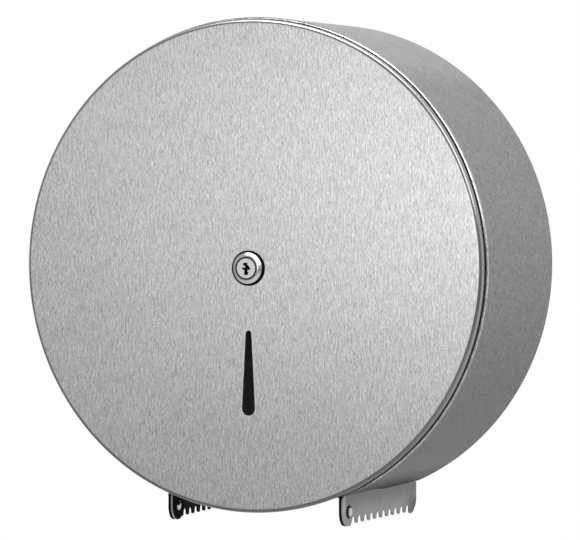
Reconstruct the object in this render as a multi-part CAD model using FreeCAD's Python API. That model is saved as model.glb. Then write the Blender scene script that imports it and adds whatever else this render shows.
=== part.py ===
import FreeCAD, Part
import math
import os

# Wall dispenser for one jumbo toilet roll: a round steel drum, a door that swings down on two rivets,
# a cam lock in the door's middle, two toothed tear plates below, and a hub on a spindle for the roll.
# Frame: +Z is up and the front faces -Y. The origin is the centre of the wall holes, on the rear face.
# Lengths are in millimetres and angles in degrees.

# Door
depth = 130.0              # from the wall to the door's face
door_r = 153.5
door_sheet = 1.0
door_bend_r = 2.5          # outside radius of the bend round the face
door_skirt = 5.5           # depth of the pan, face included
slot_drop = 41.7           # centre of the sight slot's upper end, below the door's centre
slot_length = 46.7         # between the centres of the slot's two ends
slot_top_r = 2.0
slot_bottom_r = 4.5

# Drum
seam = 0.6                 # gap between the door's edge and the drum's front
drum_overhang = 1.5        # how much the drum's radius exceeds the door's
drum_sheet = 1.0
drum_bend_r = 2.0
drum_lip = 9.0             # width of the lip turned inwards at the front
weld_gap = 0.05            # between sheets that are welded face to face
fixed_play = 0.05          # round rivets, screws and squares that don't turn in their holes
relief_half = 72.5         # half the bottom opening's width at the drum's front
relief_run = 68.0          # how far back the opening narrows down to the tear plates
opening_play = 0.2

# Back plate
back_sheet = 1.0
back_bend_r = 2.0
back_rim = 12.0
wall_hole_spacing = 160.0
wall_hole_r = 3.5

# Tear plates
plate_half_gap = 58.8      # from the middle of the drum to the middle of a plate, at its front edge
plate_sheet = 1.2
plate_toe = 2.4            # how far the plates splay towards the wall
plate_setback = 4.0        # front edge behind the drum's front
plate_wall_gap = 4.2       # rear edge in front of the wall
plate_bend_r = 0.8         # inside radius of the bend between plate and flange
plate_land = 9.0           # width of the flange that lies on the drum beside the opening
lobe_r = 9.0
hinge_drop = 8.8           # hinge axis below the drum's surface at the plate
first_gap = 7.5            # first gap behind the hinge axis
gap_pitch = 9.5
gap_width = 5.8
gap_drop = 3.2             # tops of the gaps below the hinge axis
tooth_drop = 7.9           # tips of the teeth below the hinge axis
tooth_tip_r = 1.7
rear_lobe = 10.0           # least length left behind the last gap
rear_slant = 6.0           # length and height of the slanted corner behind it
rear_corner_r = 7.0

# Hinge
ear_sheet = 1.2
ear_bend_r = 1.0
ear_flange = 16.0
ear_height = 28.0
ear_neck = 7.0             # depth of the ear at its top
ear_corner_r = 5.0
ear_clear = 2.0            # between the ear's foot and the inside of the door's skirt
hinge_play = 0.9           # between ear and tear plate at the hinge axis
rivet_r = 2.5
rivet_play = 0.1
rivet_head_r = 4.1
rivet_head = 2.0
rivet_tail_r = 3.5
rivet_tail = 1.3

# Lock
lock_drop = 1.1            # lock axis below the door's centre
seal_r = 11.0              # black seal between the bezel and the door
seal_sheet = 0.8
bezel_r = 10.2
bezel_height = 3.2         # in front of the seal
bezel_edge = 0.8
bezel_flat_r = 8.3
lock_body_r = 9.0
lock_flat = 8.0            # from the lock's axis to a flat on its body
lock_body = 17.0           # length of the body behind the door's face
lock_play = 0.15
nut_across = 24.0
nut_height = 4.0
lock_washer_r = 12.5
lock_washer_sheet = 1.2
plug_r = 7.1
plug_play = 0.05
plug_face_r = 6.6
plug_groove = 1.5          # depth of the groove round the plug's face
plug_tail_r = 4.5
plug_square = 6.0
key_depth = 11.5           # keyway's depth behind the door's face
key_height = 7.6
key_width = 5.4
# Keyway's outline from its top left, as shares of its width and height about the lock's axis
keyway_shares = [
    (-0.34, 0.45), (0.18, 0.45), (0.18, 0.30), (0.48, 0.08), (0.52, -0.12), (0.18, -0.12),
    (0.18, -0.28), (0.40, -0.28), (0.24, -0.38), (0.24, -0.55), (-0.22, -0.55), (-0.22, -0.14),
    (-0.48, -0.08), (-0.48, 0.06), (-0.10, 0.06), (-0.10, 0.20), (-0.34, 0.20),
]
wafer_count = 5
wafer_sheet = 1.0
wafer_pitch = 2.2
wafer_width = 6.6
wafer_height = 12.4
wafer_window_width = 3.2
wafer_window_height = 8.4
wafer_play = 0.1

# Cam and keeper
cam_half = 11.5
cam_width = 7.0
cam_sheet = 2.0
cam_play = 0.3             # between the cam and the keeper in front of it
cam_washer_r = 5.0
cam_washer_sheet = 1.0
screw_r = 1.95
screw_length = 9.0
screw_across = 7.0
screw_head = 2.8
keeper_gap = 1.5           # from the lock's body to the keeper
keeper_sheet = 2.0
keeper_recess = 1.0
keeper_clear = 0.6         # round the cam in the keeper's slot

# Spindle
tube_r = 16.0
tube_wall = 2.0
flange_r = 45.0
flange_sheet = 2.0
flange_rivet_count = 4
flange_rivet_circle_r = 34.0
flange_rivet_r = 2.0
flange_rivet_head_r = 4.0
flange_rivet_head = 1.5
ring_setback = 8.0         # ring groove behind the tube's front
ring_sheet = 1.2
ring_r = 18.2
groove_depth = 0.8
ring_play = 0.1
ring_mouth = 6.0
thrust_sheet = 1.0
thrust_r = 21.0

# Roll hub
hub_play = 0.1
hub_end_play = 0.2
hub_wall = 2.5
hub_r = 22.0
hub_rib = 3.0
hub_rib_count = 6
hub_nose = 6.0             # length of the taper at the ribs' front
hub_nose_drop = 2.0
hub_flange_r = 29.0
hub_flange = 2.5

overrun = 5.0              # how far a cutting shape runs past what it cuts
coincident = 1e-6          # points closer than this are one point
edge_near = 0.04           # an edge this close to a surface lies on it

V = FreeCAD.Vector
to_right = V(1, 0, 0)
to_wall = V(0, 1, 0)
upwards = V(0, 0, 1)
centre = V(0, 0, 0)

# Places along Y that several pieces share
y_face = -depth
y_face_inside = y_face + door_sheet
y_drum = y_face + door_skirt + seam
y_plate = y_drum + plate_setback
y_hinge = y_plate + lobe_r
y_lock_end = y_face + lock_body
y_bezel = y_face - seal_sheet
y_lock_front = y_bezel - bezel_height
y_keeper = y_lock_end + keeper_gap
y_cam = y_keeper + keeper_sheet + cam_play
y_tube = y_keeper - keeper_recess
y_ring = y_tube + ring_setback
y_flange = -back_sheet - flange_sheet
y_front_washer = y_ring + ring_sheet + ring_play
y_hub = y_front_washer + thrust_sheet + hub_end_play
y_rear_washer = y_flange - thrust_sheet
y_hub_end = y_rear_washer - hub_end_play
y_weld = y_plate + plate_sheet
y_weld_end = -back_rim - opening_play

# Radii and heights that several pieces share
drum_r = door_r + drum_overhang
drum_inside_r = drum_r - drum_sheet
rim_r = drum_inside_r - weld_gap
flange_inside_r = rim_r - plate_sheet
z_hinge = -math.sqrt(drum_r ** 2 - plate_half_gap ** 2) - hinge_drop
z_lobe = z_hinge - lobe_r
z_lock = -lock_drop
toe = math.radians(plate_toe)
plate_run = (-plate_wall_gap - y_plate) / math.cos(toe)


def plate_x(y, side):
    """X of a tear plate's inner face (side -1), middle (0) or outer face (1), at a given Y."""
    return plate_half_gap + (y - y_plate) * math.tan(toe) + side * plate_sheet / 2 / math.cos(toe)


x_ear = plate_x(y_hinge, -1) - hinge_play
z_ear_foot = -math.sqrt((door_r - door_sheet) ** 2 - x_ear ** 2) + ear_clear
z_ear_top = z_ear_foot + ear_height


def outline(corners):
    """Closed wire through (point, radius) corners, with a tangent arc where the radius isn't zero."""
    ends = []
    for i, (point, radius) in enumerate(corners):
        before = (corners[i - 1][0] - point).normalize()
        after = (corners[(i + 1) % len(corners)][0] - point).normalize()
        half = before.getAngle(after) / 2
        reach = radius / math.tan(half)
        bisector = before + after
        middle = point
        if radius > 0:
            middle = point + bisector.normalize() * (radius / math.sin(half) - radius)
        ends.append((point + before * reach, middle, point + after * reach))
    edges = []
    for i, (start, middle, end) in enumerate(ends):
        if start.distanceToPoint(end) > coincident:
            edges.append(Part.Arc(start, middle, end).toShape())
        following = ends[(i + 1) % len(ends)][0]
        if end.distanceToPoint(following) > coincident:
            edges.append(Part.LineSegment(end, following).toShape())
    return Part.Wire(edges)


def turned(corners, z=0):
    """Solid turned about an axis along Y at height z, from (radius, y, corner radius) corners."""
    wire = outline([(V(r, y, z), corner) for r, y, corner in corners])
    return Part.Face(wire).revolve(V(0, 0, z), to_wall, 360)


def cylinder(radius, front, rear, x=0, z=0):
    return Part.makeCylinder(radius, rear - front, V(x, front, z), to_wall)


def ring(outer, inner, front, rear, x=0, z=0):
    return cylinder(outer, front, rear, x, z).cut(cylinder(inner, front, rear, x, z))


def block(x0, x1, y0, y1, z0, z1):
    return Part.makeBox(x1 - x0, y1 - y0, z1 - z0, V(x0, y0, z0))


def hexagon(across, front, rear, z):
    points = [V(across / math.sqrt(3) * math.cos(math.radians(60 * i)), front,
                z + across / math.sqrt(3) * math.sin(math.radians(60 * i))) for i in range(6)]
    return Part.Face(Part.makePolygon(points + points[:1])).extrude(to_wall * (rear - front))


def double_flat(radius, flat, front, rear, z):
    """Round bar along Y with a flat on its left and on its right."""
    return cylinder(radius, front, rear, 0, z).common(
        block(-flat, flat, front, rear, z - radius, z + radius))


def mirrored(shape):
    return shape.mirror(centre, to_right)


def edges_at(shape, test):
    """Edges whose middle point passes the test."""
    found = []
    for edge in shape.Edges:
        middle = edge.valueAt((edge.FirstParameter + edge.LastParameter) / 2)
        if test(middle):
            found.append(edge)
    return found


def radius_of(point):
    return math.hypot(point.x, point.z)


def door_pan():
    pan = turned([
        (0, y_face, 0),
        (door_r, y_face, door_bend_r),
        (door_r, y_face + door_skirt, 0),
        (door_r - door_sheet, y_face + door_skirt, 0),
        (door_r - door_sheet, y_face_inside, door_bend_r - door_sheet),
        (0, y_face_inside, 0),
    ])
    lock_hole = double_flat(lock_body_r + lock_play, lock_flat + lock_play,
                            y_face - overrun, y_face + overrun, z_lock)
    return pan.cut(lock_hole).cut(sight_slot())


def sight_slot():
    """Cutter for the tapered slot, whose two round ends are joined by tangent lines."""
    lean = math.asin((slot_bottom_r - slot_top_r) / slot_length)
    ends = []
    for z, radius in ((-slot_drop, slot_top_r), (-slot_drop - slot_length, slot_bottom_r)):
        ends.append((radius * math.cos(lean), z + radius * math.sin(lean)))
    (x_top, z_top), (x_low, z_low) = ends
    y = y_face - overrun
    top = V(0, y, -slot_drop + slot_top_r)
    low = V(0, y, -slot_drop - slot_length - slot_bottom_r)
    wire = Part.Wire([
        Part.LineSegment(V(x_top, y, z_top), V(x_low, y, z_low)).toShape(),
        Part.Arc(V(x_low, y, z_low), low, V(-x_low, y, z_low)).toShape(),
        Part.LineSegment(V(-x_low, y, z_low), V(-x_top, y, z_top)).toShape(),
        Part.Arc(V(-x_top, y, z_top), top, V(x_top, y, z_top)).toShape(),
    ])
    return Part.Face(wire).extrude(to_wall * (2 * overrun))


def drum_wall():
    wall = turned([
        (drum_r, 0, 0),
        (drum_r, y_drum, drum_bend_r),
        (drum_r - drum_lip, y_drum, 0),
        (drum_r - drum_lip, y_drum + drum_sheet, 0),
        (drum_inside_r, y_drum + drum_sheet, drum_bend_r - drum_sheet),
        (drum_inside_r, 0, 0),
    ])
    return wall.cut(bottom_opening())


def bottom_opening():
    """Cutter for the drum's opening, which narrows to the tear plates and follows them to the wall."""
    y_relief = y_drum + relief_run
    play = plate_bend_r + opening_play
    half = [
        V(relief_half, y_drum - overrun, -drum_r - overrun),
        V(relief_half, y_drum, -drum_r - overrun),
        V(plate_x(y_relief, 1) + play, y_relief, -drum_r - overrun),
        V(plate_x(overrun, 1) + play, overrun, -drum_r - overrun),
    ]
    other = [V(-p.x, p.y, p.z) for p in reversed(half)]
    face = Part.Face(Part.makePolygon(half + other + half[:1]))
    return face.extrude(upwards * (drum_r / 2))


def back_plate():
    plate = turned([
        (0, 0, 0),
        (rim_r, 0, back_bend_r),
        (rim_r, -back_rim, 0),
        (rim_r - back_sheet, -back_rim, 0),
        (rim_r - back_sheet, -back_sheet, back_bend_r - back_sheet),
        (0, -back_sheet, 0),
    ])
    for x in (-wall_hole_spacing / 2, wall_hole_spacing / 2):
        for z in (-wall_hole_spacing / 2, wall_hole_spacing / 2):
            plate = plate.cut(cylinder(wall_hole_r, -back_rim, overrun, x, z))
    return plate.cut(flange_rivet_shapes(fixed_play))


def spindle_flange():
    disc = ring(flange_r, tube_r + weld_gap, y_flange, -back_sheet, 0, z_lock)
    return disc.cut(flange_rivet_shapes(fixed_play))


def flange_rivet_shapes(play):
    """The flange's rivets, flush at the wall and domed in front, grown by a play for cutting holes."""
    shapes = []
    sink = flange_rivet_r + back_sheet
    for i in range(flange_rivet_count):
        turn = math.radians(360 * (i + 0.5) / flange_rivet_count)
        x = flange_rivet_circle_r * math.cos(turn)
        z = z_lock + flange_rivet_circle_r * math.sin(turn)
        body = turned([
            (0, 0, 0),
            (sink + play, 0, 0),
            (flange_rivet_r + play, -back_sheet, 0),
            (flange_rivet_r + play, y_flange, 0),
            (flange_rivet_head_r, y_flange, 0),
            (flange_rivet_head_r, y_flange - flange_rivet_head, flange_rivet_head),
            (0, y_flange - flange_rivet_head, 0),
        ])
        body.translate(V(x, 0, z))
        shapes.append(body)
    return Part.makeCompound(shapes)


def flange_rivets():
    return flange_rivet_shapes(0)


def spindle_tube():
    tube = ring(tube_r, tube_r - tube_wall, y_tube, -back_sheet, 0, z_lock)
    groove = ring(tube_r + overrun, tube_r - groove_depth, y_ring, y_front_washer, 0, z_lock)
    return tube.cut(groove)


def keeper_disc():
    """Disc in the tube's mouth, with a round hole for the cam's screw and a slot for the upright cam."""
    disc = cylinder(tube_r - tube_wall - weld_gap, y_keeper, y_keeper + keeper_sheet, 0, z_lock)
    half_width = cam_width / 2 + keeper_clear
    half_height = cam_half + keeper_clear
    slot = block(-half_width, half_width, y_keeper, y_keeper + keeper_sheet,
                 z_lock - half_height, z_lock + half_height)
    hole = cylinder(cam_washer_r + keeper_clear, y_keeper, y_keeper + keeper_sheet, 0, z_lock)
    rounding = cylinder(half_height, y_keeper, y_keeper + keeper_sheet, 0, z_lock)
    return disc.cut(hole).cut(slot.common(rounding))


def retaining_ring():
    whole = ring(ring_r, tube_r - groove_depth + ring_play / 2,
                 y_ring + ring_play / 2, y_ring + ring_play / 2 + ring_sheet, 0, z_lock)
    mouth = block(-ring_mouth / 2, ring_mouth / 2, y_ring - overrun, y_ring + overrun,
                  z_lock - ring_r - overrun, z_lock)
    return whole.cut(mouth)


def thrust_washer(front):
    return ring(thrust_r, tube_r + ring_play, front, front + thrust_sheet, 0, z_lock)


def core_hub():
    """Sleeve with lengthways ribs that taper at the front, and a flange at the rear."""
    sleeve_r = tube_r + hub_play + hub_wall
    envelope = turned([
        (0, y_hub, 0),
        (hub_r - hub_nose_drop, y_hub, 0),
        (hub_r, y_hub + hub_nose, 0),
        (hub_r, y_hub_end, 0),
        (0, y_hub_end, 0),
    ], z_lock)
    hub = cylinder(sleeve_r, y_hub, y_hub_end, 0, z_lock)
    for i in range(hub_rib_count):
        rib = block(-hub_rib / 2, hub_rib / 2, y_hub, y_hub_end, z_lock, z_lock + hub_r + overrun)
        rib.rotate(V(0, 0, z_lock), to_wall, 360 * i / hub_rib_count)
        hub = hub.fuse(rib.common(envelope))
    hub = hub.fuse(cylinder(hub_flange_r, y_hub_end - hub_flange, y_hub_end, 0, z_lock))
    hub = hub.cut(cylinder(tube_r + hub_play, y_hub - overrun, y_hub_end + overrun, 0, z_lock))
    return hub.removeSplitter()


def tear_plate():
    """Right tear plate: a toothed leg, splayed by its toe, with a flange along the inside of the drum.

    The leg is notched before and behind the flange, so that it runs on below the back plate's rim.
    """
    corners = [(0, -drum_r / 2, 0), (0, z_lobe, lobe_r)]
    gap = lobe_r + first_gap
    tip = (z_lobe, gap - gap_width / 2 - lobe_r)      # height and corner radius beside the next gap
    while gap + gap_width / 2 <= plate_run - rear_lobe:
        left = gap - gap_width / 2
        right = gap + gap_width / 2
        corners.append((left, tip[0], tip[1]))
        corners.append((left, z_hinge - gap_drop, gap_width / 2))
        corners.append((right, z_hinge - gap_drop, gap_width / 2))
        tip = (z_hinge - tooth_drop, tooth_tip_r)
        if gap + gap_pitch + gap_width / 2 > plate_run - rear_lobe:
            tip = (z_lobe, tooth_tip_r)
        corners.append((right, tip[0], tip[1]))
        gap += gap_pitch
    corners.append((plate_run - rear_slant, z_lobe, rear_corner_r))
    corners.append((plate_run, z_lobe + rear_slant, rear_corner_r))
    corners.append((plate_run, -drum_r / 2, 0))
    wire = outline([(V(-plate_sheet / 2, y_plate + along, z), corner) for along, z, corner in corners])
    leg = Part.Face(wire).extrude(to_right * plate_sheet)
    leg.rotate(V(0, y_plate, 0), upwards, -plate_toe)
    leg.translate(to_right * plate_half_gap)
    leg = leg.cut(cylinder(flange_inside_r, y_drum, overrun))
    leg = leg.cut(cylinder(drum_r, y_drum, y_weld)).cut(cylinder(drum_r, y_weld_end, overrun))
    plate = leg.fuse(plate_flange()).removeSplitter()
    inner = edges_at(plate, lambda p: abs(radius_of(p) - rim_r) < edge_near
                     and abs(p.x - plate_x(p.y, 1)) < edge_near)
    plate = plate.makeFillet(plate_bend_r, inner)
    outer = edges_at(plate, lambda p: abs(radius_of(p) - flange_inside_r) < edge_near
                     and abs(p.x - plate_x(p.y, -1)) < edge_near)
    plate = plate.makeFillet(plate_bend_r + plate_sheet, outer)
    return plate.cut(hinge_bar(rivet_r + weld_gap))


def plate_flange():
    """Curved flange from the leg's inner face outwards, under the drum's wall."""
    x_end = relief_half + plate_land
    z = -drum_r
    corners = [V(plate_x(y_weld, -1), y_weld, z), V(x_end, y_weld, z), V(x_end, y_weld_end, z),
               V(plate_x(y_weld_end, -1), y_weld_end, z)]
    prism = Part.Face(Part.makePolygon(corners + corners[:1])).extrude(upwards * (drum_r / 2))
    return ring(rim_r, flange_inside_r, y_weld, y_weld_end).common(prism)


def hinge_bar(radius):
    """Bar along the hinge axis on the right side, for holes."""
    return Part.makeCylinder(radius, drum_r, V(0, y_hinge, z_hinge), to_right)


def hinge_ear():
    """Right ear: a lobe on the hinge, an arm into the door and a flange welded to the door's inside."""
    front = y_hinge - lobe_r
    rear = y_hinge + lobe_r
    x_inner = x_ear - ear_sheet
    side = outline([
        (V(x_inner, front, z_lobe), lobe_r),
        (V(x_inner, rear, z_lobe), lobe_r),
        (V(x_inner, rear, z_ear_foot), ear_corner_r),
        (V(x_inner, y_face_inside + ear_neck, z_ear_top), ear_corner_r),
        (V(x_inner, y_face_inside, z_ear_top), 0),
        (V(x_inner, y_face_inside, z_ear_foot), 0),
        (V(x_inner, front, z_ear_foot), ear_bend_r),
    ])
    arm = Part.Face(side).extrude(to_right * ear_sheet)
    foot = block(x_ear - ear_flange, x_ear, y_face_inside, y_face_inside + ear_sheet, z_ear_foot, z_ear_top)
    ear = arm.fuse(foot).removeSplitter()
    inner = edges_at(ear, lambda p: abs(p.x - x_inner) < coincident
                     and abs(p.y - y_face_inside - ear_sheet) < coincident)
    ear = ear.makeFillet(ear_bend_r, inner)
    outer = edges_at(ear, lambda p: abs(p.x - x_ear) < coincident
                     and abs(p.y - y_face_inside) < coincident)
    ear = ear.makeFillet(ear_bend_r + ear_sheet, outer)
    return ear.cut(hinge_bar(rivet_r + rivet_play))


def rivet_dome(x_seat, radius, height):
    """Round head on the hinge axis, from its flat seat to its crown. A negative height faces left."""
    rise = abs(height)
    sphere_r = (radius ** 2 + rise ** 2) / 2 / rise
    outwards = to_right * math.copysign(1, height)
    middle = V(x_seat, y_hinge, z_hinge) + outwards * (rise - sphere_r)
    latitude = math.degrees(math.asin(1 - rise / sphere_r))
    return Part.makeSphere(sphere_r, middle, outwards, latitude, 90, 360)


def hinge_rivet():
    """Right rivet: the hinge pin, with its head outside the tear plate and its tail inside the ear."""
    x_seat = plate_x(y_hinge, 1)
    x_head = x_seat - rivet_head_r * math.tan(toe)
    x_tail = x_ear - ear_sheet - rivet_play
    inside = block(x_seat - overrun, x_seat, y_hinge - overrun, y_hinge + overrun,
                   z_hinge - overrun, z_hinge + overrun)
    inside.rotate(V(x_seat, y_hinge, z_hinge), upwards, -plate_toe)
    head = rivet_dome(x_head, rivet_head_r, rivet_head).cut(inside)
    tail = rivet_dome(x_tail, rivet_tail_r, -rivet_tail)
    length = x_seat + rivet_head / 2 - x_tail
    pin = Part.makeCylinder(rivet_r, length, V(x_tail, y_hinge, z_hinge), to_right)
    return tail.fuse(pin).fuse(head).removeSplitter()


def lock_seal():
    return ring(seal_r, lock_body_r + lock_play, y_bezel, y_face, 0, z_lock)


def lock_housing():
    bezel = turned([
        (0, y_lock_front, 0),
        (bezel_flat_r, y_lock_front, bezel_edge),
        (bezel_r, y_bezel - bezel_edge / 2, bezel_edge / 2),
        (bezel_r, y_bezel, 0),
        (0, y_bezel, 0),
    ], z_lock)
    body = double_flat(lock_body_r, lock_flat, y_bezel, y_lock_end, z_lock)
    bore = cylinder(plug_r + plug_play, y_lock_front - overrun, y_lock_end + overrun, 0, z_lock)
    return bezel.fuse(body).removeSplitter().cut(bore)


def lock_washer():
    rear = y_face_inside + lock_washer_sheet
    return ring(lock_washer_r, lock_body_r + lock_play, y_face_inside, rear, 0, z_lock)


def lock_nut():
    front = y_face_inside + lock_washer_sheet
    nut = hexagon(nut_across, front, front + nut_height, z_lock)
    return nut.cut(cylinder(lock_body_r + fixed_play, front, front + nut_height, 0, z_lock))


def lock_plug():
    """Plug with a grooved face, a keyway, slots for the wafers, a round neck and a square tail."""
    y_tail = y_cam + cam_sheet - fixed_play
    y_groove = y_lock_front + plug_groove
    plug = cylinder(plug_face_r, y_lock_front, y_groove, 0, z_lock)
    plug = plug.fuse(cylinder(plug_r, y_groove, y_lock_end, 0, z_lock))
    plug = plug.fuse(cylinder(plug_tail_r, y_lock_end, y_cam - fixed_play, 0, z_lock))
    half = plug_square / 2
    plug = plug.fuse(block(-half, half, y_lock_end, y_tail, z_lock - half, z_lock + half)).removeSplitter()
    points = [V(x * key_width, y_lock_front - overrun, z_lock + z * key_height) for x, z in keyway_shares]
    keyway = Part.Face(Part.makePolygon(points + points[:1]))
    plug = plug.cut(keyway.extrude(to_wall * (y_face + key_depth - y_lock_front + overrun)))
    for y in wafer_places():
        plug = plug.cut(block(-wafer_width / 2 - wafer_play, wafer_width / 2 + wafer_play,
                              y - wafer_play, y + wafer_sheet + wafer_play,
                              z_lock - plug_r - overrun, z_lock + plug_r + overrun))
    return plug.cut(cylinder(screw_r + fixed_play, y_tail - screw_length, y_tail + overrun, 0, z_lock))


def wafer_places():
    return [y_face + wafer_sheet / 2 + i * wafer_pitch for i in range(wafer_count)]


def lock_wafers():
    wafers = []
    for y in wafer_places():
        plate = block(-wafer_width / 2, wafer_width / 2, y, y + wafer_sheet,
                      z_lock - wafer_height / 2, z_lock + wafer_height / 2)
        window = block(-wafer_window_width / 2, wafer_window_width / 2, y, y + wafer_sheet,
                       z_lock - wafer_window_height / 2, z_lock + wafer_window_height / 2)
        wafers.append(plate.cut(window))
    return Part.makeCompound(wafers)


def lock_cam():
    rear = y_cam + cam_sheet
    bar = block(-cam_width / 2, cam_width / 2, y_cam, rear, z_lock - cam_half, z_lock + cam_half)
    bar = bar.common(cylinder(cam_half, y_cam, rear, 0, z_lock))
    half = plug_square / 2 + fixed_play
    return bar.cut(block(-half, half, y_cam, rear, z_lock - half, z_lock + half))


def cam_washer():
    front = y_cam + cam_sheet
    return ring(cam_washer_r, screw_r + fixed_play, front, front + cam_washer_sheet, 0, z_lock)


def cam_screw():
    seat = y_cam + cam_sheet + cam_washer_sheet
    tip = y_cam + cam_sheet - screw_length + fixed_play
    screw = hexagon(screw_across, seat, seat + screw_head, z_lock)
    return screw.fuse(cylinder(screw_r, tip, seat, 0, z_lock)).removeSplitter()


right_plate = tear_plate()
right_ear = hinge_ear()
right_rivet = hinge_rivet()

nodes = {
    "back_plate": back_plate(),
    "drum_wall": drum_wall(),
    "tear_plate_right": right_plate,
    "tear_plate_left": mirrored(right_plate),
    "hinge_rivet_right": right_rivet,
    "hinge_rivet_left": mirrored(right_rivet),
    "spindle_flange": spindle_flange(),
    "flange_rivets": flange_rivets(),
    "spindle_tube": spindle_tube(),
    "keeper_disc": keeper_disc(),
    "retaining_ring": retaining_ring(),
    "thrust_washer_front": thrust_washer(y_front_washer),
    "thrust_washer_rear": thrust_washer(y_rear_washer),
    "core_hub": core_hub(),
    "door_pan": door_pan(),
    "hinge_ear_right": right_ear,
    "hinge_ear_left": mirrored(right_ear),
    "lock_seal": lock_seal(),
    "lock_housing": lock_housing(),
    "lock_washer": lock_washer(),
    "lock_nut": lock_nut(),
    "lock_plug": lock_plug(),
    "lock_wafers": lock_wafers(),
    "lock_cam": lock_cam(),
    "cam_washer": cam_washer(),
    "cam_screw": cam_screw(),
}

os.makedirs("parts", exist_ok=True)
for name, shape in nodes.items():
    if not shape.isValid():
        raise ValueError(name + " isn't a valid shape")
    shape.exportStep("parts/" + name + ".step")
    print(name, len(shape.Solids), round(shape.Volume, 1))
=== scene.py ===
import math

import bpy
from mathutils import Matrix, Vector


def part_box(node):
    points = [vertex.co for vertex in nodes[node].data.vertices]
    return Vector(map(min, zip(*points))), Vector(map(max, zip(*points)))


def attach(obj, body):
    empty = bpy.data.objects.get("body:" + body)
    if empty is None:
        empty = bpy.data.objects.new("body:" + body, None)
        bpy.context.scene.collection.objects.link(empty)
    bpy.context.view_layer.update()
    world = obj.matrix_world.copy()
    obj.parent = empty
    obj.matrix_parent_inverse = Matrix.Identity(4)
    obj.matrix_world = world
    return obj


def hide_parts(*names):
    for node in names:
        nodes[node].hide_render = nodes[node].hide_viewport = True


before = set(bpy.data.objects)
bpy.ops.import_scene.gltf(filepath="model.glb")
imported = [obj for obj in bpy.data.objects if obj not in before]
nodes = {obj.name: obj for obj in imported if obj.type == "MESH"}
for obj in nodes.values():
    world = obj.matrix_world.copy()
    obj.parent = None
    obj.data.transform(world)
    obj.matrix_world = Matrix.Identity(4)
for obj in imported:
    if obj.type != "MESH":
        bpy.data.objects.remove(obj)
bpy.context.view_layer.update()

# Camera: it looks straight at the door's middle, from 2.2 m away, on the right and slightly above.
# The picture is 580 by 540 pixels and the door's middle lies left of its centre, so the lens is shifted.
picture_width = 580
picture_height = 540
door_middle_px = (248.5, 266.4)
focal_px = 3536
azimuth = math.radians(23.24)
elevation = math.radians(1.34)
distance = 2.1966
sensor = 36.0

door_low, door_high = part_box("door_pan")
door_middle = Vector((0, door_low.y, 0))
towards_camera = Vector((
    math.sin(azimuth) * math.cos(elevation),
    -math.cos(azimuth) * math.cos(elevation),
    math.sin(elevation),
))
camera = bpy.data.objects.new("camera", bpy.data.cameras.new("camera"))
bpy.context.scene.collection.objects.link(camera)
bpy.context.scene.camera = camera
camera.location = door_middle + towards_camera * distance
camera.rotation_euler = (-towards_camera).to_track_quat("-Z", "Y").to_euler()
camera.data.sensor_width = sensor
camera.data.lens = focal_px / picture_width * sensor
camera.data.shift_x = (picture_width / 2 - door_middle_px[0]) / picture_width
camera.data.shift_y = (door_middle_px[1] - picture_height / 2) / picture_width


# Backdrop: a pale wall that the dispenser hangs on, and a pale floor below it.
# The camera, metal and glass see the wall as white. Seen from behind, both are clear.
wall_gap = 0.001
room_half = 4.0
floor_drop = 1.2
pale = (0.8, 0.8, 0.8)
white = (1, 1, 1, 1)
paint_roughness = 0.9
patch_size = 150
patchiness = 0.06


class Wire:
    """A socket of a node tree. A sum on it adds Math nodes."""

    def __init__(self, tree, socket):
        self.tree = tree
        self.socket = socket

    def math(self, operation, *others):
        return self.tree.node("ShaderNodeMath", {"operation": operation}, dict(enumerate((self,) + others)))

    def __add__(self, other):
        return self.math("ADD", other)

    def __sub__(self, other):
        return self.math("SUBTRACT", other)

    def __mul__(self, other):
        return self.math("MULTIPLY", other)

    def __truediv__(self, other):
        return self.math("DIVIDE", other)

    def __neg__(self):
        return self.math("MULTIPLY", -1)

    def __rsub__(self, other):
        return -self + other

    __radd__ = __add__
    __rmul__ = __mul__

    def past(self, low, high):
        """0 below the low value and 1 above the high one, with a soft step between them."""
        return self.tree.node("ShaderNodeMapRange", {"interpolation_type": "SMOOTHSTEP"}, {
            "Value": self, "From Min": low, "From Max": high})


class Tree:
    """A node tree, for a finish or for a shape."""

    def __init__(self, tree):
        self.tree = tree

    def node(self, kind, settings=None, inputs=None, output=0):
        """Adds a node, makes its settings and then its inputs, and gives one of its outputs."""
        made = self.tree.nodes.new(kind)
        for name, value in (settings or {}).items():
            setattr(made, name, value)
        for name, value in (inputs or {}).items():
            self.feed(made.inputs[name], value)
        return Wire(self, made.outputs[output])

    def feed(self, socket, value):
        """Gives a socket a wire, several wires or a plain value."""
        if isinstance(value, list):
            for wire in value:
                self.tree.links.new(wire.socket, socket)
        elif isinstance(value, Wire):
            self.tree.links.new(value.socket, socket)
        else:
            socket.default_value = value

    def point(self, x, y, z):
        return self.node("ShaderNodeCombineXYZ", inputs={0: x, 1: y, 2: z})

    def parts(self, vector):
        """A vector's X, Y and Z."""
        x = self.node("ShaderNodeSeparateXYZ", inputs={0: vector})
        return [Wire(self, socket) for socket in x.socket.node.outputs]


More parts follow.
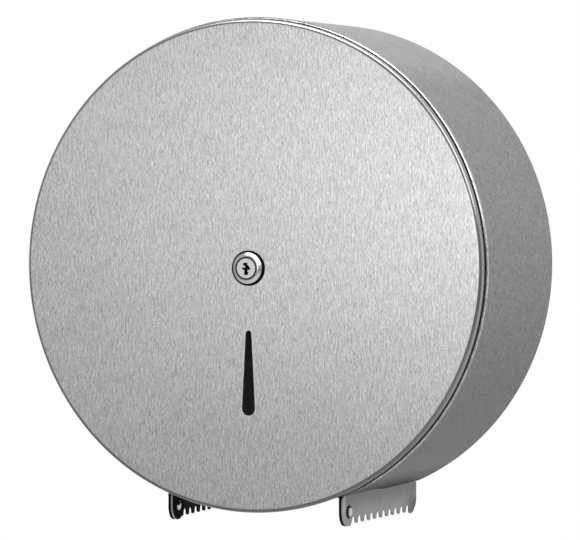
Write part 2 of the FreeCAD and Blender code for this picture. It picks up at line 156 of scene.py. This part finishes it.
class Finish(Tree):
    """A material's tree, which ends in a Principled shader. Its lengths are in millimetres."""

    def __init__(self, name):
        self.material = bpy.data.materials.new(name)
        self.material.use_nodes = True
        super().__init__(self.material.node_tree)
        self.shader = self.tree.nodes["Principled BSDF"]
        place = self.node("ShaderNodeTexCoord", output="Object")
        self.x, self.y, self.z = [part * 1000 for part in self.parts(place)]

    def set(self, **values):
        """Feeds the Principled shader's sockets, named with underscores for spaces."""
        for name, value in values.items():
            self.feed(self.shader.inputs[name.replace("_", " ")], value)
        return self.material

    def facing(self):
        """The surface's direction, in the piece's own frame."""
        return self.parts(self.node("ShaderNodeTexCoord", output="Normal"))

    def radius(self, z_axis=0.0):
        """Distance from an axis along Y at a height."""
        z = self.z - z_axis
        return (self.x * self.x + z * z).math("SQRT")

    def noise(self, x, y, z, detail=2.0, roughness=0.5):
        """Noise from -0.5 to 0.5, with a grain of about one unit."""
        value = self.node("ShaderNodeTexNoise", {"noise_dimensions": "3D"}, {
            "Vector": self.point(x, y, z), "Scale": 1.0, "Detail": detail, "Roughness": roughness}, "Fac")
        return value - 0.5

    def tint(self, colour, amount):
        """The colour, made lighter or darker by a factor that varies."""
        return self.node("ShaderNodeVectorMath", {"operation": "SCALE"}, {0: colour, "Scale": amount})

    def bump(self, height, distance):
        """Bump from a height between 0 and 1, times a distance in millimetres."""
        return self.node("ShaderNodeBump", inputs={"Height": height, "Distance": distance / 1000})


def plane(name, corners, material):
    """Four-cornered surface that isn't part of the dispenser."""
    mesh = bpy.data.meshes.new(name)
    mesh.from_pydata(corners, [], [(0, 1, 2, 3)])
    mesh.materials.append(material)
    made = bpy.data.objects.new(name, mesh)
    bpy.context.scene.collection.objects.link(made)


def backdrop_finish(name, shines):
    """Pale diffuse paint, clear from behind, and where asked white to the camera, metal and glass."""
    finish = Finish(name)
    patches = finish.noise(finish.x / patch_size, finish.y / patch_size, finish.z / patch_size)
    finish.set(
        Base_Color=finish.tint(pale, 1 + patchiness * patches),
        Roughness=paint_roughness,
        Specular_IOR_Level=0.0,
    )
    shown = Wire(finish, finish.shader.outputs[0])
    if shines:
        seen = finish.node("ShaderNodeLightPath", output="Is Camera Ray")
        for kind in ("Is Glossy Ray", "Is Transmission Ray"):
            seen = seen.math("MAXIMUM", finish.node("ShaderNodeLightPath", output=kind))
        glow = finish.node("ShaderNodeEmission", inputs={"Color": white, "Strength": 1.0})
        shown = finish.node("ShaderNodeMixShader", inputs={0: seen, 1: shown, 2: glow})
    clear = finish.node("ShaderNodeBsdfTransparent")
    behind = finish.node("ShaderNodeNewGeometry", output="Backfacing")
    shown = finish.node("ShaderNodeMixShader", inputs={0: behind, 1: shown, 2: clear})
    finish.feed(finish.tree.nodes["Material Output"].inputs["Surface"], shown)
    return finish.material


wall_corners = [
    (-room_half, wall_gap, -floor_drop),
    (room_half, wall_gap, -floor_drop),
    (room_half, wall_gap, room_half),
    (-room_half, wall_gap, room_half),
]
plane("wall", wall_corners, backdrop_finish("white_wall", True))
floor_corners = [
    (-room_half, -room_half, -floor_drop),
    (room_half, -room_half, -floor_drop),
    (room_half, wall_gap, -floor_drop),
    (-room_half, wall_gap, -floor_drop),
]
plane("floor", floor_corners, backdrop_finish("pale_floor", False))


# Light: a pale sky, darker below, and three soft lamps, one low in front that the door mirrors, one overhead
# and one on the right. The last two draw the bright lines along the door's and the drum's bends.
sky_colour = (0.8, 0.8, 0.8, 1)
sky_below = 0.36
sky_above = 0.66
horizon = (-0.2, 0.4)      # heights between which the sky turns lighter

world = bpy.data.worlds.new("studio")
bpy.context.scene.world = world
world.use_nodes = True
background = world.node_tree.nodes["Background"]
background.inputs["Color"].default_value = sky_colour
sky = Tree(world.node_tree)
height = sky.parts(sky.node("ShaderNodeTexCoord", output="Generated"))[2]
sky.feed(background.inputs["Strength"], sky_below + (sky_above - sky_below) * height.past(*horizon))


def lamp(name, place, target, size, power):
    """Soft rectangular lamp, in metres and watts, turned towards its target."""
    data = bpy.data.lights.new(name, "AREA")
    data.shape = "RECTANGLE"
    data.size, data.size_y = size
    data.energy = power
    made = bpy.data.objects.new(name, data)
    bpy.context.scene.collection.objects.link(made)
    made.location = place
    made.rotation_euler = (Vector(target) - Vector(place)).to_track_quat("-Z", "Y").to_euler()


lamp("key_lamp", place=(-0.1, -2.0, 0.1), target=(0.05, -0.13, 0.05), size=(0.9, 0.4), power=3.9)
lamp("top_lamp", place=(0.1, -0.25, 1.5), target=(0.0, -0.06, 0.0), size=(1.8, 0.8), power=38)
lamp("right_lamp", place=(1.3, -0.5, 0.9), target=(0.15, -0.06, 0.05), size=(0.8, 1.0), power=10)

bpy.context.scene.view_settings.view_transform = "Standard"


# Back plate and the flange on it: plain stainless sheet, pressed and punched, with the mill's smooth grey
# finish. The spindle's tube and the slotted disc welded in its mouth have the same finish.
mill_steel = (0.46, 0.46, 0.47)
cloud_size = 11
cloud_tint = 0.16
cloud_gloss = 0.12
specks_per_mm = 1.6
speck_tint = 0.14
speck_relief = 0.01


def dress(material, *names):
    """Gives CAD nodes this material in every slot."""
    for name in names:
        slots = nodes[name].data.materials
        for i in range(len(slots)):
            slots[i] = material


def smooth_metal(name, colour, roughness):
    """Rolled or plated metal, faintly cloudy, with small marks from handling."""
    finish = Finish(name)
    x, y, z = finish.x, finish.y, finish.z
    cloud = finish.noise(x / cloud_size, y / cloud_size, z / cloud_size, detail=4.0)
    speck = finish.noise(x * specks_per_mm, y * specks_per_mm, z * specks_per_mm)
    finish.set(
        Base_Color=finish.tint(colour, 1 + cloud_tint * cloud + speck_tint * speck),
        Metallic=1.0,
        Roughness=roughness + cloud_gloss * cloud,
        Normal=finish.bump(speck, speck_relief),
    )
    return finish.material


dress(smooth_metal("mill_steel", mill_steel, roughness=0.38),
      "back_plate", "spindle_flange", "spindle_tube", "keeper_disc")


# Flange rivets: four countersunk steel rivets that hold the flange to the back plate.
# They lie flush with the sheet and are a little brighter than it.
flange_rivet_steel = (0.60, 0.60, 0.60)
dress(smooth_metal("flange_rivet_steel", flange_rivet_steel, roughness=0.28), "flange_rivets")


# Retaining ring and thrust washers: an open spring ring in the tube's groove keeps the hub on the spindle,
# between two white plastic washers.
zinc = (0.58, 0.59, 0.62)
zinc_roughness = 0.28
washer_white = (0.75, 0.75, 0.73)
texture_per_mm = 0.9
texture_tint = 0.3
texture_gloss = 0.1

dress(smooth_metal("zinc_plate", zinc, zinc_roughness), "retaining_ring")


def fine_texture(finish):
    """Fine matt texture, the same in every direction."""
    x, y, z = [part * texture_per_mm for part in (finish.x, finish.y, finish.z)]
    return finish.noise(x, y, z, detail=3.0)


def moulded(name, colour, roughness, relief, gloss=0.5):
    """Moulded plastic, rubber or black paint that stands in for shade, with a fine matt texture."""
    finish = Finish(name)
    texture = fine_texture(finish)
    finish.set(
        Base_Color=finish.tint(colour, 1 + texture_tint * texture),
        Roughness=roughness + texture_gloss * texture,
        Specular_IOR_Level=gloss,
        Normal=finish.bump(texture, relief),
    )
    return finish.material


dress(moulded("washer_plastic", washer_white, roughness=0.5, relief=0.01),
      "thrust_washer_front", "thrust_washer_rear")


# Roll hub: one grey plastic moulding with ribs that grip the roll's cardboard core.
# It turns freely on the spindle's tube.
hub_grey = (0.10, 0.105, 0.11)
dress(moulded("hub_plastic", hub_grey, roughness=0.5, relief=0.02), "core_hub")


# Drum: a band of stainless sheet, rolled and welded into a circle, with its front edge turned inwards.
# It is open at the bottom, where the paper comes out, and brushed along the band, so the grain runs round it.
drum_sheet = 1.0
drum_bend = 2.0
drum_lip = 9.0
relief_half = 72.5
relief_run = 68.0
plate_half = 58.8
plate_sheet = 1.2
plate_toe = math.radians(2.4)
opening_play = 0.3
# Painted shade: the drum's brushed stainless gets about half the door's base colour, so its sides render
# darker.
shaded_drum_steel = (0.315, 0.315, 0.315)
steel_tint = (0.6, 0.6, 0.6, 1)
past_bend = 0.2            # from a bend's end to the corner that starts the flat
cut_top = -0.5             # share of the drum's radius at which the opening's cutter ends
overrun = 5.0
turn_steps = 400
bend_steps = 14
crease = math.radians(35)

# Brushed strokes: how many there are to a millimetre across and along, an offset, and their share
strokes = [
    (2.6, 0.7, 0, 0.7),
    (2.2, 0.28, 7, 0.25),
    (1.8, 0.06, 19, 0.15),
]
stroke_scatter = 60
columns_per_mm = 1.1
sway = 0.8
sways_across = 0.1
sways_along = 0.07

# Where each painted shade and painted highlight of the drum sets in and where it is full, in millimetres
drum_bent = (1.5, 3.0)         # behind the front edge
seam_depth = (1.2, 1.6)        # behind the front edge
seam_inside = (1.1, 0.7)       # inside the drum's radius
opening_shadow = (-142, -126)
drum_specks = 1.5
lower_heights = (-110, 40)
upper_heights = (108, 130)
top_of_bend = (132, 152)


def in_mm(corner):
    return [value * 1000 for value in corner]


class Form(Tree):
    """A Geometry Nodes tree that makes one piece. Its sizes are named inputs, in millimetres."""

    def __init__(self, name, **sizes):
        self.name = name
        self.sizes = sizes
        super().__init__(bpy.data.node_groups.new(name, "GeometryNodeTree"))
        face = self.tree.interface
        face.new_socket(name="Shape", in_out="OUTPUT", socket_type="NodeSocketGeometry")
        self.keys = {}
        for size in sizes:
            made = face.new_socket(name=size, in_out="INPUT", socket_type="NodeSocketFloat")
            self.keys[size] = made.identifier
        self.entry = self.tree.nodes.new("NodeGroupInput")

    def __getitem__(self, size):
        return Wire(self, self.entry.outputs[size])

    def by_index(self, kind, values):
        """A field that gives each point its own value."""
        switch = self.tree.nodes.new("GeometryNodeIndexSwitch")
        switch.data_type = kind
        while len(switch.index_switch_items) < len(values):
            switch.index_switch_items.new()
        self.feed(switch.inputs["Index"], self.node("GeometryNodeInputIndex"))
        for i, value in enumerate(values):
            self.feed(switch.inputs[i + 1], value)
        return Wire(self, switch.outputs[0])

    def outline(self, corners):
        """Closed curve in the XY plane through (x, y, radius) corners."""
        places = self.by_index("VECTOR", [self.point(x, y, 0) for x, y, radius in corners])
        radii = self.by_index("FLOAT", [radius for x, y, radius in corners])
        points = self.node("GeometryNodePoints", inputs={"Count": len(corners), "Position": places})
        curve = self.node("GeometryNodePointsToCurves", inputs={"Points": points})
        curve = self.node("GeometryNodeSetSplineCyclic", inputs={"Geometry": curve, "Cyclic": True})
        return self.node("GeometryNodeFilletCurve", {"mode": "POLY"}, {
            "Curve": curve, "Count": bend_steps, "Radius": radii})

    def move(self, shape, **how):
        return self.node("GeometryNodeTransform", inputs={"Geometry": shape, **how})

    def turned(self, outline, radius):
        """Turns an outline, drawn as radius and depth, about the Y axis."""
        path = self.node("GeometryNodeCurvePrimitiveCircle", inputs={
            "Resolution": turn_steps, "Radius": radius})
        drawn = self.move(outline, Translation=self.point(-radius, 0, 0))
        band = self.node("GeometryNodeCurveToMesh", inputs={"Curve": path, "Profile Curve": drawn})
        return self.move(band, Rotation=(math.pi / 2, 0, 0))

    def prism(self, outline, low, high):
        """Upright prism on an outline, between two heights."""
        base = self.node("GeometryNodeFillCurve", {"mode": "NGONS"}, {"Curve": outline})
        base = self.move(base, Translation=self.point(0, 0, low))
        sides = self.node("GeometryNodeExtrudeMesh", inputs={
            "Mesh": base, "Offset": self.point(0, 0, high - low), "Individual": False})
        base = self.node("GeometryNodeFlipFaces", inputs={"Mesh": base})
        whole = self.node("GeometryNodeJoinGeometry", inputs={0: [base, sides]})
        return self.node("GeometryNodeMergeByDistance", inputs={"Geometry": whole})

    def cut(self, shape, *cutters):
        return self.node("GeometryNodeMeshBoolean", {"operation": "DIFFERENCE", "solver": "EXACT"}, {
            "Mesh 1": shape, "Mesh 2": list(cutters)})

    def make(self, shape, material, body, slot):
        """Ends the tree, makes the piece a plain mesh and lets it stand for the CAD node of its name."""
        shape = self.move(shape, Scale=(0.001, 0.001, 0.001))
        shape = self.node("GeometryNodeMergeByDistance", inputs={"Geometry": shape, "Distance": 1e-6})
        shape = self.node("GeometryNodeSetShadeSmooth", inputs={"Geometry": shape, "Shade Smooth": True})
        angle = self.node("GeometryNodeInputMeshEdgeAngle")
        shape = self.node("GeometryNodeSetShadeSmooth", {"domain": "EDGE"}, {
            "Geometry": shape, "Selection": angle.math("GREATER_THAN", crease), "Shade Smooth": False})
        shape = self.node("GeometryNodeRealizeInstances", inputs={"Geometry": shape})
        shape = self.node("GeometryNodeSetMaterial", inputs={"Geometry": shape, "Material": material})
        self.feed(self.tree.nodes.new("NodeGroupOutput").inputs[0], shape)
        piece = bpy.data.objects.new(self.name + "_piece", bpy.data.meshes.new(self.name))
        bpy.context.scene.collection.objects.link(piece)
        modifier = piece.modifiers.new("shape", "NODES")
        modifier.node_group = self.tree
        for size, value in self.sizes.items():
            modifier[self.keys[size]] = float(value)
        depsgraph = bpy.context.evaluated_depsgraph_get()
        mesh = bpy.data.meshes.new_from_object(piece.evaluated_get(depsgraph))
        piece.modifiers.remove(modifier)
        piece.data = mesh
        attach(piece, body)
        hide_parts(self.name)


def grained(finish, across, along, other):
    """Brushed grain about 0, from the place across it, along it and off the sheet.

    Each column of strokes is shifted along by its own length, so the strokes form no rows.
    """
    along = along + stroke_scatter * finish.noise(across * columns_per_mm, 0, other)
    across = across + sway * finish.noise(across * sways_across, along * sways_along, other)
    grain = 0
    for per_mm_across, per_mm_along, offset, share in strokes:
        stroke = finish.noise(across * per_mm_across, along * per_mm_along, other + offset, detail=1.0)
        grain = grain + stroke * share
    return grain


drum_low, drum_high = [in_mm(corner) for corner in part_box("drum_wall")]
drum_r = (drum_high[0] - drum_low[0]) / 2
y_drum = drum_low[1]
y_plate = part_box("tear_plate_right")[0].y * 1000
y_relief = y_drum + relief_run

form = Form("drum_wall", radius=drum_r, front=y_drum, sheet=drum_sheet, bend=drum_bend, lip=drum_lip,
            half_opening=relief_half, relief=y_relief, half_run=plate_half, play=opening_play)
outside = form["radius"]
inside = outside - form["sheet"]
front = form["front"]
behind_lip = front + form["sheet"]
tangent = form["bend"] + past_bend
drum_outline = form.outline([
    (inside, 0, 0),
    (inside, front + tangent, 0),
    (inside, behind_lip, form["bend"] - form["sheet"]),
    (outside - form["lip"], behind_lip, 0),
    (outside - form["lip"], front, 0),
    (outside - tangent, front, 0),
    (outside, front, form["bend"]),
    (outside, front + tangent, 0),
    (outside, 0, 0),
])
run_slope = math.tan(plate_toe)
outer_face = form["half_run"] + plate_sheet / 2 + form["play"]
at_relief = outer_face + (form["relief"] - y_plate) * run_slope
at_wall = outer_face + (overrun - y_plate) * run_slope
right_side = [
    (form["half_opening"], front - overrun),
    (form["half_opening"], front),
    (at_relief, form["relief"]),
    (at_wall, overrun),
]
left_side = [(-x, y) for x, y in reversed(right_side)]
opening_outline = form.outline([(x, y, 0) for x, y in right_side + left_side])
opening = form.prism(opening_outline, -outside - overrun, outside * cut_top)

finish = Finish("drum_brushed_steel")
radius = finish.radius()
round_it = finish.x.math("ARCTAN2", finish.z) * drum_r
grain = grained(finish, finish.y, round_it, radius)
speck = finish.noise(finish.x * drum_specks, finish.y * drum_specks, finish.z * drum_specks, detail=1.0)
# Painted shade: a dark line along the seam behind the drum's front edge.
painted_seam_shade = ((1 - radius.past(drum_r - seam_inside[0], drum_r - seam_inside[1]))
           * (1 - finish.y.past(y_drum + seam_depth[0], y_drum + seam_depth[1])))
bent = 1 - finish.y.past(y_drum + drum_bent[0], y_drum + drum_bent[1])
# Painted shadow on the drum just above the bottom opening.
painted_opening_shadow = 1 - finish.z.past(*opening_shadow)
brushing = 1 + 5.0 * grain + 1.7 * speck
# Painted highlight along the drum's front bend, which turns to painted shade at the bend's top.
painted_bend_shading = 1 + 0.7 * bent - 1.2 * bent * finish.z.past(*top_of_bend)
# Painted light and shade: the drum is darker low down and lighter near the top.
painted_height_shading = 0.7 + 0.3 * finish.z.past(*lower_heights) + 0.2 * finish.z.past(*upper_heights)
shade = brushing * painted_bend_shading * (1 - 0.9 * painted_seam_shade) * (1 - 0.65 * painted_opening_shadow) * painted_height_shading
finish.set(
    Base_Color=finish.tint(shaded_drum_steel, shade),
    Metallic=1.0,
    Roughness=0.52 - 0.26 * bent + 0.1 * grain,
    Specular_Tint=steel_tint,
    Normal=finish.bump(grain, 0.02),
)
form.make(form.cut(form.turned(drum_outline, outside), opening),
          finish.material, "case", "brushed_stainless")


# Tear plates: toothed stainless plates, one on each side of the paper, with a flange welded inside the drum.
# Their inner faces and the left plate's front edge are painted near black, as painted shade. Outside they are
# plain mill finish, with a painted highlight along the sheared front edge and painted shade round the rivet,
# at the rear corner and under the drum.
plate_steel = (0.33, 0.33, 0.33)
painted_shade_share = 0.015
painted_shade_gloss = 0.01
lobe_r = 9.0
edge_band = (2.8, 4.0)         # behind the front edge
edge_heights = (-5, 3)         # above the hinge's axis
rivet_shadow = (4.2, 4.9)      # from the hinge's axis
corner_depths = (-30, -4)
corner_heights = (-4, 6)       # above the hinge's axis
under_drum_heights = (-156, -143)
faces_out = (0.3, 0.8)         # share of a surface's direction that points sideways
plate_cloud_size = 9
y_hinge = y_plate + lobe_r
z_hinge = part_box("tear_plate_right")[0].z * 1000 + lobe_r


def from_hinge(finish):
    """Distance from the hinge's axis."""
    y = finish.y - y_hinge
    z = finish.z - z_hinge
    return (y * y + z * z).math("SQRT")


def plate_finish(name, side):
    """Finish of the tear plate on one side, with the inner face and what lies near it painted black as
    painted shade.
    """
    finish = Finish(name)
    x, y, z = finish.x, finish.y, finish.z
    facing_out = finish.facing()[0] * side
    speck = finish.noise(x * 1.5, y * 1.2, z * 1.2, detail=2.0)
    cloud = finish.noise(x / plate_cloud_size, y / plate_cloud_size, z / plate_cloud_size, detail=3.0)
    # Painted shade: what doesn't face outwards is painted near black, which on the left plate takes in the
    # front edge.
    limits = faces_out if side < 0 else (-faces_out[1], -faces_out[0])
    outside = facing_out.past(*limits)
    # Painted highlight along the front edge, and painted shade round the rivet, at the rear corner and under
    # the drum.
    front_edge = 1 - y.past(y_plate + edge_band[0], y_plate + edge_band[1])
    band = front_edge * z.past(z_hinge + edge_heights[0], z_hinge + edge_heights[1])
    rivet_shade = 1 - from_hinge(finish).past(*rivet_shadow)
    low = 1 - z.past(z_hinge + corner_heights[0], z_hinge + corner_heights[1])
    rear_corner = y.past(*corner_depths) * low
    under_drum = z.past(*under_drum_heights)
    shade = (1 + 0.3 * speck + 0.2 * cloud) * (1 + 0.75 * band) * (1 - 0.6 * rivet_shade)
    shade = shade * (1 - 0.6 * rear_corner) * (1 - 0.35 * under_drum)
    finish.set(
        Base_Color=finish.tint(plate_steel, shade * (painted_shade_share + (1 - painted_shade_share) * outside)),
        Metallic=outside,
        Roughness=0.42 + 0.1 * speck,
        Specular_IOR_Level=painted_shade_gloss,
        Specular_Tint=steel_tint,
        Normal=finish.bump(speck, 0.01),
    )
    return finish.material


dress(plate_finish("left_plate_steel", -1), "tear_plate_left")
dress(plate_finish("right_plate_steel", 1), "tear_plate_right")


# Hinge rivets: dome-headed steel pins through plate and ear, which the door turns on.
# Painted shade darkens the outer ring of each head, next to the plate.
rivet_steel = (0.50, 0.50, 0.50)
painted_rim_shade_ring = (2.7, 3.3)         # from the hinge's axis

finish = Finish("hinge_rivet_steel")
speck = finish.noise(finish.x * 2, finish.y * 2, finish.z * 2)
# Painted shade on the outer ring of the rivet's head.
painted_rim_shade = from_hinge(finish).past(*painted_rim_shade_ring)
finish.set(
    Base_Color=finish.tint(rivet_steel, (1 + 0.2 * speck) * (1 - 0.97 * painted_rim_shade)),
    Metallic=1.0,
    Roughness=0.22 + 0.4 * painted_rim_shade,
    Normal=finish.bump(speck, 0.01),
)
dress(finish.material, "hinge_rivet_left", "hinge_rivet_right")


# Door: a round pan of stainless sheet, pressed with a small bend round its face, then brushed from top to
# bottom. The lock's hole and the sight slot are punched through it, with a painted highlight beside the slot.
door_sheet = 1.0
door_bend = 2.5
door_steel = (0.62, 0.62, 0.62)
lock_drop = 1.1
lock_hole_r = 9.15
lock_hole_flat = 8.15
slot_top = -41.7
slot_length = 46.7
slot_top_r = 2.0
slot_low_r = 4.5
ring_in_hole = 5.0
punch_steps = 72
door_bent = (2.6, 1.8)         # inside the door's radius
skirt_crevice = (0.9, 0.4)     # in front of the skirt's rear edge
slot_highlight_band = (0.25, 0.7)      # beside the slot's edge
bend_heights = (-130, -40)
smudge_width = 45
smudge_height = 60

pan_low, pan_high = [in_mm(corner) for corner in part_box("door_pan")]
door_r = (pan_high[0] - pan_low[0]) / 2
y_face = pan_low[1]
y_skirt = pan_high[1]

form = Form("door_pan", radius=door_r, face=y_face, rear=y_skirt, sheet=door_sheet, bend=door_bend,
            hole_radius=lock_hole_r, hole_flat=lock_hole_flat, hole_drop=lock_drop, slot_top=slot_top,
            slot_length=slot_length, slot_top_radius=slot_top_r, slot_low_radius=slot_low_r)
outside = form["radius"]
inside = outside - form["sheet"]
front = form["face"]
tangent = form["bend"] + past_bend
pan_outline = form.outline([
    (ring_in_hole, front, 0),
    (outside - tangent, front, 0),
    (outside, front, form["bend"]),
    (outside, front + tangent, 0),
    (outside, form["rear"], 0),
    (inside, form["rear"], 0),
    (inside, front + tangent, 0),
    (inside, front + form["sheet"], form["bend"] - form["sheet"]),
    (outside - tangent, front + form["sheet"], 0),
    (ring_in_hole, front + form["sheet"], 0),
])


def punch(form, radius, z):
    """Round punch through the door's face."""
    bar = form.node("GeometryNodeMeshCylinder", inputs={
        "Vertices": punch_steps, "Radius": radius, "Depth": 2 * overrun})
    return form.move(bar, Rotation=(math.pi / 2, 0, 0), Translation=form.point(0, form["face"], z))


slot_ends = [punch(form, form["slot_top_radius"], form["slot_top"]),
             punch(form, form["slot_low_radius"], form["slot_top"] - form["slot_length"])]
slot_punch = form.node("GeometryNodeConvexHull", inputs={
    0: form.node("GeometryNodeJoinGeometry", inputs={0: slot_ends})})
round_punch = punch(form, form["hole_radius"], -form["hole_drop"])
x, y, z = form.parts(form.node("GeometryNodeInputPosition"))
flattened = x.math("MAXIMUM", -form["hole_flat"]).math("MINIMUM", form["hole_flat"])
lock_punch = form.node("GeometryNodeSetPosition", inputs={
    "Geometry": round_punch, "Position": form.point(flattened, y, z)})

finish = Finish("door_brushed_steel")
radius = finish.radius()
grain = grained(finish, finish.x, finish.z, finish.y)
smudge = finish.noise(finish.x / smudge_width, finish.z / smudge_height, finish.y, detail=3.0)
bent = radius.past(door_r - door_bent[0], door_r - door_bent[1])
# Painted shade: the skirt's rear edge darkened where it meets the drum.
painted_seam_shade = finish.y.past(y_skirt - skirt_crevice[0], y_skirt - skirt_crevice[1])
slot_low = slot_top - slot_length
along_slot = finish.z.math("MAXIMUM", slot_low).math("MINIMUM", slot_top)
slot_half = slot_top_r + (slot_top - along_slot) * ((slot_low_r - slot_top_r) / slot_length)
beside = finish.x * finish.x + (finish.z - along_slot) * (finish.z - along_slot)
# Painted highlight on the face beside the slot's edge.
painted_slot_highlight = 1 - (beside.math("SQRT") - slot_half).past(*slot_highlight_band)
brushing = 1 + 4.6 * grain * (1 - bent) + 0.08 * smudge
# Painted shade: the door's bend is darkened all round, and more towards the bottom.
painted_bend_shading = 1 - 0.5 * bent * (1 - finish.z.past(*bend_heights))
shade = brushing * (1 + 0.45 * painted_slot_highlight) * (1 - 0.5 * bent) * (1 - 0.9 * painted_seam_shade) * painted_bend_shading
finish.set(
    Base_Color=finish.tint(door_steel, shade),
    Metallic=1.0,
    Roughness=0.36 - 0.14 * bent + 0.1 * grain + 0.05 * smudge,
    Anisotropic=0.6,
    Normal=finish.bump(grain, 0.02),
)
form.make(form.cut(form.turned(pan_outline, outside), slot_punch, lock_punch),
          finish.material, "door", "brushed_stainless")


# Ears: folded steel brackets welded inside the door, which reach down to the rivets.
# They are painted near black as painted shade, and on the left one the black is left off the cut edges round
# the rivet, which show bare steel.
ear_shade_black = (0.004, 0.004, 0.004)
right_ear_shade_black = (0.008, 0.008, 0.008)
steel_edge_gain = 80                 # how much lighter than the painted black the bare steel edge is
cut_edge = (0.5, 0.9)          # share of a surface's direction that points sideways
steel_edge_heights = (6, 9)          # above the hinge's axis
rubber_gloss = 0.02

# Painted shade: the left ear is painted near black, except its cut edges round the rivet.
finish = Finish("ear_coating")
grain = fine_texture(finish)
sideways = finish.facing()[0].math("ABSOLUTE")
low = 1 - finish.z.past(z_hinge + steel_edge_heights[0], z_hinge + steel_edge_heights[1])
edge = (1 - sideways.past(*cut_edge)) * low
finish.set(
    Base_Color=finish.tint(ear_shade_black, (1 + 0.4 * grain) * (1 + steel_edge_gain * edge)),
    Metallic=edge,
    Roughness=0.5 + 0.1 * grain,
    Specular_IOR_Level=painted_shade_gloss,
    Normal=finish.bump(grain, 0.01),
)
dress(finish.material, "hinge_ear_left")
# Painted shade: the right ear is painted near black all over.
dress(moulded("right_ear_coating", right_ear_shade_black, roughness=0.5, relief=0.01, gloss=rubber_gloss),
      "hinge_ear_right")


# Lock body: a plated cam lock, sealed to the door with a black ring and clamped from inside by washer and
# nut. The narrow gap round the turning plug and the bezel's outer edge are darkened as painted shade.
lock_low, lock_high = [in_mm(corner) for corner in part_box("lock_housing")]
y_lock = lock_low[1]
z_lock = -lock_drop
chrome = (0.80, 0.80, 0.80)
plug_face_r = 6.6
bore_r = 7.15
bezel_r = (lock_high[0] - lock_low[0]) / 2
seal_black = (0.004, 0.004, 0.004)
painted_shade_strength = 0.985
bore_rim = (0.25, 0.4)         # outside the bore's radius
bore_depth = (0.1, 0.3)        # behind the lock's front
bezel_rim = (0.65, 0.4)        # inside the bezel's radius
plug_rim = (0.5, 0.35)         # inside the radius of the plug's face
keyway_depth = (0.05, 0.3)     # behind the lock's front

dress(moulded("seal_rubber", seal_black, roughness=0.7, relief=0.02, gloss=rubber_gloss), "lock_seal")
dress(smooth_metal("zinc_parts", zinc, zinc_roughness), "lock_washer", "lock_cam", "cam_washer", "cam_screw")


def lock_finish(name, dark, roughness):
    """Plated finish with painted shade on a part, given as a function of the finish."""
    finish = Finish(name)
    speck = finish.noise(finish.x * 2, finish.y * 2, finish.z * 2)
    cloud = finish.noise(finish.x / 4, finish.y / 4, finish.z / 4)
    shade = dark(finish)
    finish.set(
        Base_Color=finish.tint(chrome, (1 + 0.1 * speck + 0.1 * cloud) * (1 - painted_shade_strength * shade)),
        Metallic=1.0,
        Roughness=roughness + 0.04 * cloud + 0.5 * shade,
        Normal=finish.bump(speck, 0.005),
    )
    return finish.material


# Painted shade: the gap between bore and plug, and the bezel's outer edge.
def gap_round_plug(finish):
    radius = finish.radius(z_lock)
    near_bore = 1 - radius.past(bore_r + bore_rim[0], bore_r + bore_rim[1])
    in_bore = near_bore * finish.y.past(y_lock + bore_depth[0], y_lock + bore_depth[1])
    return in_bore.math("MAXIMUM", radius.past(bezel_r - bezel_rim[0], bezel_r - bezel_rim[1]))


# Painted shade: the keyway behind the plug's front, and the rim round the plug's face.
def gap_and_keyway(finish):
    deep = finish.y.past(y_lock + keyway_depth[0], y_lock + keyway_depth[1])
    rim = finish.radius(z_lock).past(plug_face_r - plug_rim[0], plug_face_r - plug_rim[1])
    return deep.math("MAXIMUM", rim)


dress(lock_finish("lock_chrome", gap_round_plug, roughness=0.14), "lock_housing")
dress(smooth_metal("nut_plate", chrome, roughness=0.2), "lock_nut")


# Plug: turns in the body with the key. Its face is duller than the bezel.
# Its keyway and the rim round its face are darkened as painted shade, and the brass wafers in the keyway get
# a darkened brass, painted shade for the keyway's depth.
shade_darkened_brass = (0.10, 0.075, 0.035)
dress(lock_finish("plug_chrome", gap_and_keyway, roughness=0.34), "lock_plug")
dress(smooth_metal("wafer_brass", shade_darkened_brass, roughness=0.5), "lock_wafers")
